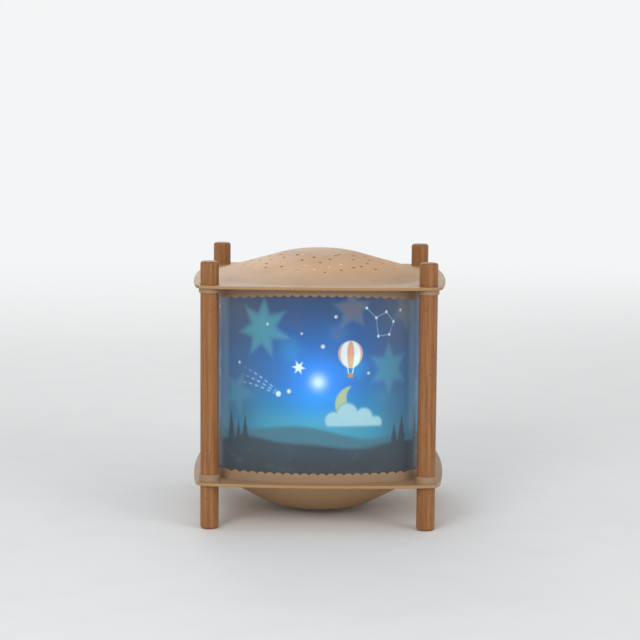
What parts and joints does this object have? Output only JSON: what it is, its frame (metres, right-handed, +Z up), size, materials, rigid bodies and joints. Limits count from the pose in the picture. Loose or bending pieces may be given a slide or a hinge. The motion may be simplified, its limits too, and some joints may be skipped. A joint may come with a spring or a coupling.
{
  "type": "rotating motion lamp",
  "caption": "Square table night lamp: wooden corner posts, pierced domed cover that lifts off, printed glowing screen and a film drum turned by warm air.",
  "frame": {"origin": "on the table, at the centre of the four posts", "axes": "+Z up along the posts, the front face of the screen looks along -Y, +X to the right seen from the front"},
  "size_m": [0.1826, 0.1826, 0.1927],
  "materials": {
    "cream_plastic": "satin translucent moulding, beige in the dark",
    "screen_print": "translucent sheet printed with a night scene",
    "beech": "turned dowel, clear satin lacquer",
    "clear_plastic": "milky snap rivet",
    "soft_black": "soft moulding",
    "ivory_plastic": "fine matt moulding",
    "zinc_steel": "zinc plated",
    "holder_black": "heat-proof moulding",
    "brass": "plain brass",
    "nickel": "bright cap metal",
    "black_glass": "vitrified insulator",
    "solder": "dull solder",
    "clear_glass": "clear blown glass",
    "stem_glass": "pressed clear glass",
    "support_wire": "fine wire",
    "tungsten": "glowing coil",
    "spring_wire": "drawn bright wire",
    "needle_steel": "ground needle",
    "drum_print": "translucent film printed with stars",
    "wheel_metal": "thin pressed metal",
    "hoop_clear": "clear stiffening hoop"
  },
  "bodies": {
    "base": {"base_tray": "cream_plastic", "post_front_left": "beech", "post_front_right": "beech", "post_back_left": "beech", "post_back_right": "beech", "diffuser": "screen_print", "screen_rivets": "clear_plastic", "cord_bush": "soft_black", "access_cover": "ivory_plastic", "access_screws": "zinc_steel", "holder_bracket": "zinc_steel", "bracket_screws": "zinc_steel", "lampholder_body": "holder_black", "lampholder_nut": "zinc_steel", "lampholder_shell": "brass", "lampholder_contact": "brass", "lampholder_terminals": "brass", "bulb_cap": "nickel", "bulb_insulator": "black_glass", "bulb_contact": "solder", "bulb_glass": "clear_glass", "bulb_stem": "stem_glass", "filament_supports": "support_wire", "bulb_filament": "tungsten", "pivot_bridge": "spring_wire", "bridge_nuts": "zinc_steel", "pivot_needle": "needle_steel"},
    "cover": {"top_cover": "cream_plastic"},
    "rotor": {"turbine_wheel": "wheel_metal", "drum_film": "drum_print", "pivot_cup": "brass", "lower_hoop": "hoop_clear", "drum_rivets": "hoop_clear"}
  },
  "joints": [
    {"name": "cover_lift", "type": "slide", "parent": "base", "child": "cover", "axis": [0, 0, 1], "range_m": [0, 0.06]},
    {"name": "rotor_spin", "type": "hinge", "parent": "base", "child": "rotor", "pos_m": [0, 0, 0.1673], "axis": [0, 0, 1], "continuous": true}
  ]
}
